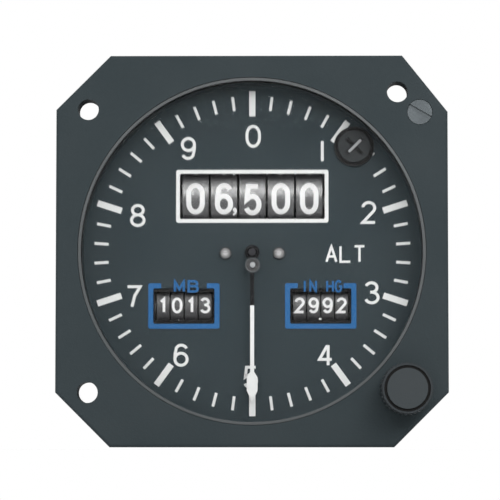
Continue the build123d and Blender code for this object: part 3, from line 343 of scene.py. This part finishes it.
# The nodes that aren't named here are steel
FINISHES = {
    bezel_paint: ["bezel", "bezel_collar", "glass_spacer"],
    ring_paint: ["glass_ring"],
    case_paint: ["case_shell", "pocket_plug"],
    glass: ["glass"],
    rubber: ["glass_gasket", "case_seal"],
    dial_paint: ["dial_plate"],
    white_paint: ["dial_marks"],
    blue_paint: ["baro_window_frames"],
    pointer_paint: ["pointer_needle"],
    drum_metal: ["zero_drums", "hundreds_drum", "thousands_drum", "ten_thousands_drum"],
    baro_drum: ["hundredths_drum", "tenths_drum", "inches_drum", "ten_inches_drum",
                "millibars_drum", "ten_millibars_drum", "hundred_millibars_drum",
                "thousand_millibars_drum"],
    black_screw: ["rim_screw", "case_screws"],
    knob_plastic: ["baro_knob"],
    bright_screw: ["dial_screws"],
    grey_screw: ["corner_screw"],
    brass: ["counter_idler", "sector_gear", "baro_idler", "third_arbor", "second_arbor"],
    plate_metal: ["altitude_bracket", "baro_brackets", "front_plate", "mid_plate", "rear_plate",
                  "pillars", "pointer_bridge", "front_posts", "knob_bush", "idler_studs"],
    capsule_metal: ["left_capsules", "right_capsules"],
    connector_metal: ["connector_shell"],
    insert_plastic: ["connector_insert"],
}
finish_of = {name: paint for paint, names in FINISHES.items() for name in names}
for name, node in nodes.items():
    node.data.materials.clear()
    node.data.materials.append(finish_of.get(name, steel).material)


# Lettering from strokes

def bow(x, z, across, up, start, end):
    """Points of an elliptic arc, in degrees."""
    count = max(2, math.ceil(abs(end - start) / ARC_STEP))
    angles = [math.radians(start + (end - start) * i / count) for i in range(count + 1)]
    return [(x + across * math.cos(t), z + up * math.sin(t)) for t in angles]


def glyph(sign, a, b):
    """Strokes of a sign whose centre lines fill -a to a and -b to b: (points, closed)."""
    if sign == "0":
        r = min(1.35 * a, b)
        return [(bow(0, b - r, a, r, 0, 180) + bow(0, r - b, a, r, 180, 360), True)]
    if sign == "1":
        return [([(-0.55 * a, 0.52 * b), (0.2 * a, b), (0.2 * a, -b)], False)]
    if sign == "I":
        return [([(0, b), (0, -b)], False)]
    if sign == "2":
        top = bow(0, 0.46 * b, 0.95 * a, 0.54 * b, 172, -38)
        return [(top + [(-0.95 * a, -b), (a, -b)], False)]
    if sign == "3":
        top = bow(-0.05 * a, 0.53 * b, 0.88 * a, 0.47 * b, 160, -90)
        return [(top[:-1] + [(-0.25 * a, 0.06 * b)], False),
                (bow(0, -0.47 * b, a, 0.53 * b, 90, -160), False)]
    if sign == "4":
        return [([(0.42 * a, -b), (0.42 * a, b)], False),
                ([(0.28 * a, 0.96 * b), (-0.95 * a, -0.42 * b), (a, -0.42 * b)], False)]
    if sign == "5":
        bowl = bow(0, -0.38 * b, 0.97 * a, 0.62 * b, 138, -155)
        return [([(0.85 * a, b), (-0.62 * a, b), (-0.8 * a, 0.02 * b)] + bowl[1:], False)]
    if sign == "6":
        tail = bow(0.05 * a, 0.4 * b, 0.93 * a, 0.6 * b, 28, 150)
        return [(bow(0, -0.4 * b, 0.97 * a, 0.6 * b, 0, 360)[:-1], True),
                (tail + [(-0.95 * a, 0.1 * b), (-0.97 * a, -0.4 * b)], False)]
    if sign == "7":
        return [([(-a, b), (a, b), (0.15 * a, 0.1 * b), (-0.3 * a, -b)], False)]
    if sign == "8":
        return [(bow(0, 0.53 * b, 0.86 * a, 0.47 * b, 0, 360)[:-1], True),
                (bow(0, -0.47 * b, a, 0.53 * b, 0, 360)[:-1], True)]
    if sign == "9":
        return [([(-x, -z) for x, z in points], closed) for points, closed in glyph("6", a, b)]
    if sign == "A":
        return [([(-a, -b), (0, b), (a, -b)], False),
                ([(-0.66 * a, -0.32 * b), (0.66 * a, -0.32 * b)], False)]
    if sign == "L":
        return [([(-a, b), (-a, -b), (a, -b)], False)]
    if sign == "T":
        return [([(-a, b), (a, b)], False), ([(0, b), (0, -b)], False)]
    if sign == "M":
        return [([(-a, -b), (-a, b), (0, -0.55 * b), (a, b), (a, -b)], False)]
    if sign == "B":
        waist = (-a, 0.04 * b)
        upper = [waist, (-a, b)] + bow(0.25 * a, 0.52 * b, 0.65 * a, 0.48 * b, 90, -90) + [waist]
        lower = [waist] + bow(0.3 * a, -0.48 * b, 0.7 * a, 0.52 * b, 90, -90) + [(-a, -b), waist]
        return [(upper, False), (lower, False)]
    if sign == "N":
        return [([(-a, -b), (-a, b), (a, -b), (a, b)], False)]
    if sign == "H":
        return [([(-a, -b), (-a, b)], False), ([(a, -b), (a, b)], False),
                ([(-a, 0), (a, 0)], False)]
    if sign == "G":
        return [(bow(0, 0, a, b, 42, 345) + [(a, 0), (0.15 * a, 0)], False)]
    if sign == ",":
        return [(bow(0, 0.6 * b, 0.5 * a, 0.4 * b, 0, 360)[:-1], True),
                ([(0.75 * a, 0.7 * b), (0.8 * a, 0), (0.2 * a, -0.6 * b), (-a, -b)], False)]
    raise ValueError("no strokes for the sign " + sign)


def spaced(points, closed):
    """The stroke with no step longer than LONGEST_STEP."""
    result = []
    ends = points[1:] + points[:1] if closed else points[1:]
    for (x, z), (p, q) in zip(points, ends):
        count = max(1, math.ceil(math.hypot(p - x, q - z) / LONGEST_STEP))
        result += [(x + (p - x) * i / count, z + (q - z) * i / count) for i in range(count)]
    return result if closed else result + [points[-1]]


def edges_of(points, closed, half):
    """The stroke's left and right edges, mitred at its corners."""
    left, right = [], []
    last = len(points) - 1
    for i, (x, z) in enumerate(points):
        steps = []
        if closed or i > 0:
            steps.append((points[i - 1], (x, z)))
        if closed or i < last:
            steps.append(((x, z), points[(i + 1) % len(points)]))
        ways = []
        for (x1, z1), (x2, z2) in steps:
            length = math.hypot(x2 - x1, z2 - z1)
            ways.append(((z1 - z2) / length, (x2 - x1) / length))
        nx, nz = sum(w[0] for w in ways), sum(w[1] for w in ways)
        length = math.hypot(nx, nz)
        nx, nz = nx / length, nz / length
        reach = half / max(MITRE_LIMIT, nx * ways[0][0] + nz * ways[0][1])
        left.append((x + nx * reach, z + nz * reach))
        right.append((x - nx * reach, z - nz * reach))
    return left, right


def ribbon(mesh, points, closed, half, place, lift):
    """A printed stroke: place(u, v, height) gives the point on the surface."""
    points = spaced(points, closed)
    rows = []
    for edge in edges_of(points, closed, half):
        for height in (INK_ROOT, INK + lift):
            rows.append([mesh.verts.new(place(u, v, height)) for u, v in edge])
    low_left, high_left, low_right, high_right = rows
    count = len(points)
    for i in range(count if closed else count - 1):
        j = (i + 1) % count
        for a, b in ((high_left, high_right), (low_right, low_left), (low_left, high_left),
                     (high_right, low_right)):
            mesh.faces.new((a[i], b[i], b[j], a[j]))
    if not closed:
        mesh.faces.new((low_left[0], low_right[0], high_right[0], high_left[0]))
        mesh.faces.new((low_left[-1], high_left[-1], high_right[-1], low_right[-1]))


def write(mesh, sign, size, stroke, place):
    """Prints a sign. Each of its strokes is raised a little more, so that no two faces coincide."""
    strokes = glyph(sign, (size[0] - stroke) / 2, (size[1] - stroke) / 2)
    for index, (points, closed) in enumerate(strokes):
        ribbon(mesh, points, closed, stroke / 2, place, index * STROKE_STEP)


def piece(name, mesh, paint, body):
    data = bpy.data.meshes.new(name)
    bmesh.ops.recalc_face_normals(mesh, faces=mesh.faces)
    mesh.to_mesh(data)
    mesh.free()
    data.materials.append(paint.material)
    made = bpy.data.objects.new(name, data)
    bpy.context.scene.collection.objects.link(made)
    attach(made, body)


def on_dial(x, z, recess=0.0):
    """The dial's printing surface, or a plane behind it, with the sign's centre at x, z."""
    return lambda u, v, height: Vector((x + u, DIAL_FRONT + recess - height, z + v)) * MM


def on_drum(x, axis, radius, degrees):
    """A drum's printing surface, with the sign's centre turned up from the front by the angle."""
    def place(u, v, height):
        turn = math.radians(degrees) + v / radius
        reach = radius + height
        return Vector((x + u, axis[0] - reach * math.cos(turn),
                       axis[1] + reach * math.sin(turn))) * MM
    return place


numerals = bmesh.new()
for value, spot in enumerate(NUMERAL_SPOTS):
    sign = "I" if value == 1 else str(value)
    write(numerals, sign, NUMERAL_SIZE, NUMERAL_STROKE, on_dial(*spot))
piece("dial_numerals", numerals, white_paint, "case")


def column(index, count, pitch):
    """Where the column with this number stands in a centred row."""
    return (index - (count - 1) / 2) * pitch


def label(name, text, x, z, size, stroke, pitch, paint):
    mesh = bmesh.new()
    for index, sign in enumerate(text):
        if sign != " ":
            write(mesh, sign, size, stroke, on_dial(x + column(index, len(text), pitch), z))
    piece(name, mesh, paint, "case")


label("altitude_label", "ALT", x=19.9, z=-0.2, size=(2.6, 3.8), stroke=0.5, pitch=3.0,
      paint=white_paint)
label("millibars_label", "MB", x=-14.1, z=-7.1, size=(2.4, 2.7), stroke=0.5, pitch=2.95,
      paint=blue_paint)
label("inches_label", "IN HG", x=14.8, z=-7.1, size=(1.65, 2.7), stroke=0.42, pitch=1.8,
      paint=blue_paint)


def drum_figures(name, node, x, shown, tilt, axis, radius, size, stroke, slot, comma=False):
    """All figures of a drum, with the shown one at the front and the next higher one below."""
    mesh = bmesh.new()
    for value in range(FIGURES):
        degrees = tilt - FIGURE_STEP * ((value - shown) % FIGURES)
        write(mesh, str(value), size, stroke, on_drum(x, axis, radius, degrees))
        if comma:
            lower = degrees + math.degrees(COMMA_OFFSET[1] / radius)
            write(mesh, ",", COMMA_SIZE, COMMA_STROKE,
                  on_drum(x + COMMA_OFFSET[0], axis, radius, lower))
    piece(name, mesh, digit_paint, nodes[node]["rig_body"])


# Drums from the left, each with the figure it shows, its sag in degrees, and if it has commas
altitude_figures = (
    ("ten_thousands", 0, 0.0, False),
    ("thousands", 6, 0.0, True),
    ("hundreds", 5, HUNDREDS_SAG, False),
)
for index, (drum, shown, sag, comma) in enumerate(altitude_figures):
    drum_figures(drum + "_figures", drum + "_drum", column(index, ALTITUDE_DRUMS, ALTITUDE_PITCH),
                 shown, sag + ALTITUDE_TILT, comma=comma, **ALTITUDE_PRINT)
for index in range(len(altitude_figures), ALTITUDE_DRUMS):
    drum_figures("zero_figures_%d" % index, "zero_drums",
                 column(index, ALTITUDE_DRUMS, ALTITUDE_PITCH), 0, ALTITUDE_TILT, **ALTITUDE_PRINT)
# The two barometric counters: left or right, their drums from the left, and the figures shown
baro_groups = (
    (-1, ("thousand_millibars", "hundred_millibars", "ten_millibars", "millibars"), (1, 0, 1, 3)),
    (1, ("ten_inches", "inches", "tenths", "hundredths"), (2, 9, 9, 2)),
)
for side, drums, values in baro_groups:
    for index, (drum, shown) in enumerate(zip(drums, values)):
        drum_figures(drum + "_figures", drum + "_drum",
                     side * BARO_X + column(index, len(drums), BARO_PITCH), shown, BARO_TILT,
                     **BARO_PRINT)
point = bmesh.new()
write(point, "I", POINT_SIZE, POINT_SIZE[0], on_dial(*POINT_SPOT, POINT_RECESS))
piece("inches_point", point, white_paint, "case")


def turned(name, shape, spot, front, paint, body):
    """A round piece on an axis along Y, from its radii and their depths from the given front."""
    mesh = bmesh.new()
    rows = []
    for radius, depth in shape:
        count = TURNED_SIDES if radius else 1
        angles = [2 * math.pi * i / count for i in range(count)]
        rows.append([
            mesh.verts.new(Vector((spot[0] + radius * math.cos(t), front + depth,
                                   spot[1] + radius * math.sin(t))) * MM)
            for t in angles
        ])
    for row, after in zip(rows, rows[1:]):
        for i in range(TURNED_SIDES):
            j = (i + 1) % TURNED_SIDES
            far = (after[j], after[i]) if len(after) > 1 else (after[0],)
            mesh.faces.new((row[i], row[j]) + far)
    mesh.faces.new(reversed(rows[0]))
    piece(name, mesh, paint, body)


turned("pointer_rivet", RIVET_SHAPE, RIVET_SPOT, POINTER_FRONT, rivet_paint,
       nodes["pointer_needle"]["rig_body"])


# Stage, lights and camera

WHITE = (1, 1, 1, 1)

# The floor, in metres: it glows by this share where it is seen, and is lit for the rest
FLOOR_CORNERS = ((-0.6, -0.3), (0.6, -0.3), (0.6, 0.9), (-0.6, 0.9))
FLOOR_Z = -0.0419
FLOOR_COLOUR = (0.88, 0.88, 0.88, 1)
FLOOR_ROUGHNESS = 0.9
FLOOR_GLOW = 0.72

# Strength of the world as a light, and where it is seen
ROOM_LIGHT = 0.28
SEEN_BACKGROUND = 1.0

# Softboxes: azimuth and elevation in degrees, distance, width and height in metres, power in watts
SOFTBOXES = (
    ("front_softbox", 8, 17, 0.8, 0.6, 0.16, 3.2),
    ("key_softbox", 38, 48, 0.9, 0.3, 0.3, 1.8),
    ("left_softbox", -60, 35, 0.9, 0.35, 0.5, 1.3),
    ("rear_softbox", 170, 45, 0.9, 0.6, 0.5, 4.1),
)

# The camera, in metres and degrees. The photo's size and shift are in pixels, its scale in pixels
# a millimetre, and the sensor in millimetres.
CAMERA_DISTANCE = 0.6
CAMERA_AZIMUTH = 0.7
CAMERA_ELEVATION = -4.0
PHOTO_SIZE = 500
PHOTO_SCALE = 4.745
PHOTO_SHIFT = (-1.8, 0.4)
SENSOR_WIDTH = 36
AIM = Vector((0, PANEL_FRONT, 0)) * MM


def seen_directly(tree):
    """1 for what the camera sees, also through glass and in a reflection."""
    path = tree.nodes.new("ShaderNodeLightPath")
    total = path.outputs["Is Camera Ray"]
    for name in ("Is Glossy Ray", "Is Transmission Ray"):
        node = tree.nodes.new("ShaderNodeMath")
        node.operation = "MAXIMUM"
        tree.links.new(total, node.inputs[0])
        tree.links.new(path.outputs[name], node.inputs[1])
        total = node.outputs[0]
    return total


floor_mesh = bmesh.new()
for x, y in FLOOR_CORNERS:
    floor_mesh.verts.new((x, y, FLOOR_Z))
floor_mesh.faces.new(floor_mesh.verts)
floor_data = bpy.data.meshes.new("floor")
floor_mesh.to_mesh(floor_data)
floor_mesh.free()
floor = bpy.data.objects.new("floor", floor_data)
bpy.context.scene.collection.objects.link(floor)
floor_material = bpy.data.materials.new("floor")
floor_material.use_nodes = True
tree = floor_material.node_tree
lit = tree.nodes["Principled BSDF"]
lit.inputs["Base Color"].default_value = FLOOR_COLOUR
lit.inputs["Roughness"].default_value = FLOOR_ROUGHNESS
glow = tree.nodes.new("ShaderNodeEmission")
glow.inputs["Color"].default_value = WHITE
share = tree.nodes.new("ShaderNodeMath")
share.operation = "MULTIPLY"
share.inputs[1].default_value = FLOOR_GLOW
tree.links.new(seen_directly(tree), share.inputs[0])
mixed = tree.nodes.new("ShaderNodeMixShader")
tree.links.new(share.outputs[0], mixed.inputs[0])
tree.links.new(lit.outputs[0], mixed.inputs[1])
tree.links.new(glow.outputs[0], mixed.inputs[2])
tree.links.new(mixed.outputs[0], tree.nodes["Material Output"].inputs["Surface"])
floor.data.materials.append(floor_material)

world = bpy.data.worlds.new("studio")
bpy.context.scene.world = world
world.use_nodes = True
tree = world.node_tree
background = tree.nodes["Background"]
background.inputs["Color"].default_value = WHITE
span = tree.nodes.new("ShaderNodeMapRange")
span.inputs["To Min"].default_value = ROOM_LIGHT
span.inputs["To Max"].default_value = SEEN_BACKGROUND
tree.links.new(seen_directly(tree), span.inputs["Value"])
tree.links.new(span.outputs["Result"], background.inputs["Strength"])


def direction(azimuth, elevation):
    """The unit vector towards a place this many degrees to the right of the front, and up."""
    a, e = math.radians(azimuth), math.radians(elevation)
    return Vector((math.sin(a) * math.cos(e), -math.cos(a) * math.cos(e), math.sin(e)))


for name, azimuth, elevation, distance, width, height, power in SOFTBOXES:
    data = bpy.data.lights.new(name, "AREA")
    data.shape = "RECTANGLE"
    data.size, data.size_y = width, height
    data.energy = power
    lamp = bpy.data.objects.new(name, data)
    lamp.location = direction(azimuth, elevation) * distance
    lamp.rotation_mode = "QUATERNION"
    lamp.rotation_quaternion = (-lamp.location).to_track_quat("-Z", "Y")
    bpy.context.scene.collection.objects.link(lamp)

camera_data = bpy.data.cameras.new("camera")
camera_data.sensor_width = SENSOR_WIDTH
view_width = PHOTO_SIZE / PHOTO_SCALE * MM
camera_data.lens = SENSOR_WIDTH * CAMERA_DISTANCE / view_width
camera_data.shift_x = PHOTO_SHIFT[0] / PHOTO_SIZE
camera_data.shift_y = PHOTO_SHIFT[1] / PHOTO_SIZE
camera = bpy.data.objects.new("camera", camera_data)
way_to_camera = direction(CAMERA_AZIMUTH, CAMERA_ELEVATION)
camera.location = AIM + way_to_camera * CAMERA_DISTANCE
camera.rotation_mode = "QUATERNION"
camera.rotation_quaternion = (-way_to_camera).to_track_quat("-Z", "Y")
bpy.context.scene.collection.objects.link(camera)
bpy.context.scene.camera = camera
bpy.context.scene.view_settings.view_transform = "Standard"
